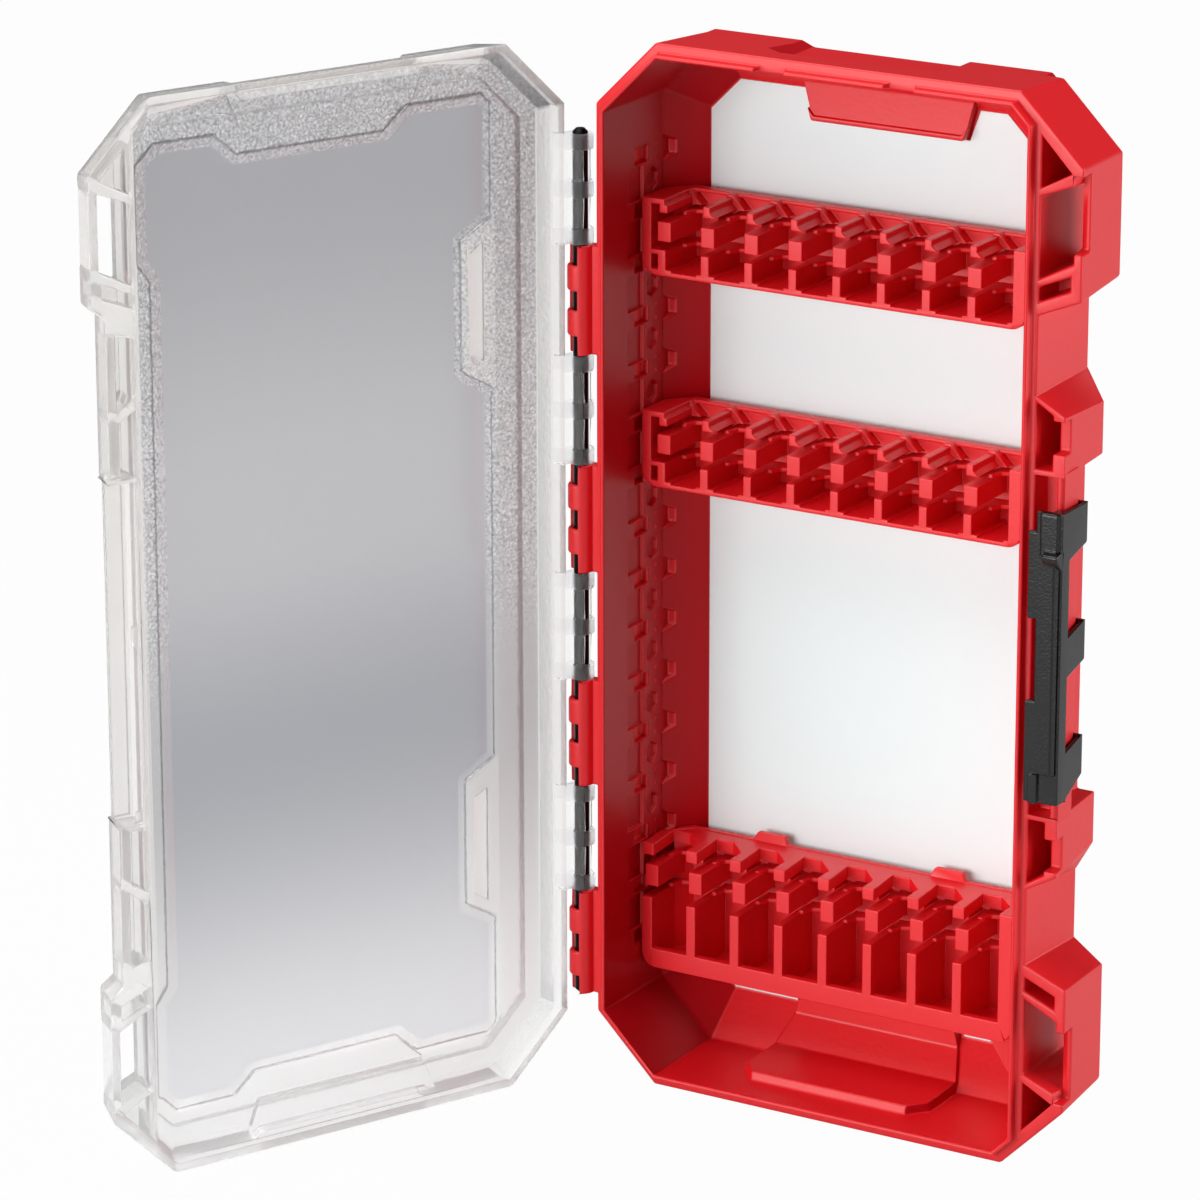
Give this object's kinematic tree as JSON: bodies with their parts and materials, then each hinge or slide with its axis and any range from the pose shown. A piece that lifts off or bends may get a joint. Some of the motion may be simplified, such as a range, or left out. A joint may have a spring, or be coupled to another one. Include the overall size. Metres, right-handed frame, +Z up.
{
  "type": "tool accessory case",
  "caption": "Upright hinged plastic case with a translucent lid, removable rails with finger slots for hex bits, and a slide latch on a rail.",
  "frame": {"origin": "middle of the footprint of the open case, at the floor it stands on", "axes": "+Z up along the pin, +X from the tray's hinge side to its latch side, +Y from the open front to the tray's back; rest pose is the pictured one, lid open 115 degrees"},
  "size_m": [0.1964, 0.1568, 0.262],
  "materials": {
    "red_plastic": "satin moulded red, slightly see-through at the ribs",
    "clear_plastic": "milky see-through, pebbled near the border, smooth in the middle",
    "steel": "dull steel wire",
    "black_plastic": "satin black with fine speckle",
    "card": "plain white card"
  },
  "bodies": {
    "tray": {"base_shell": "red_plastic", "hinge_pin": "steel", "backing_card": "card"},
    "lid": {"lid_shell": "clear_plastic"},
    "latch": {"slide_latch": "black_plastic"},
    "upper_rail": {"upper_bit_rail": "red_plastic"},
    "middle_rail": {"middle_bit_rail": "red_plastic"},
    "lower_rail": {"lower_bit_rail": "red_plastic"}
  },
  "joints": [
    {"name": "lid_hinge", "type": "hinge", "parent": "tray", "child": "lid", "pos_m": [-0.0344, 0.04169, 0.131], "axis": [0, 0, -1], "range_deg": [-115.1, 64.9]},
    {"name": "latch_slide", "type": "slide", "parent": "tray", "child": "latch", "axis": [0, 0, 1], "range_m": [-0.0044, 0.0062]},
    {"name": "upper_rail_pull", "type": "slide", "parent": "tray", "child": "upper_rail", "axis": [0, -1, 0], "range_m": [0, 0.042]},
    {"name": "middle_rail_pull", "type": "slide", "parent": "tray", "child": "middle_rail", "axis": [0, -1, 0], "range_m": [0, 0.042]},
    {"name": "lower_rail_pull", "type": "slide", "parent": "tray", "child": "lower_rail", "axis": [0, -1, 0], "range_m": [0, 0.042]}
  ]
}
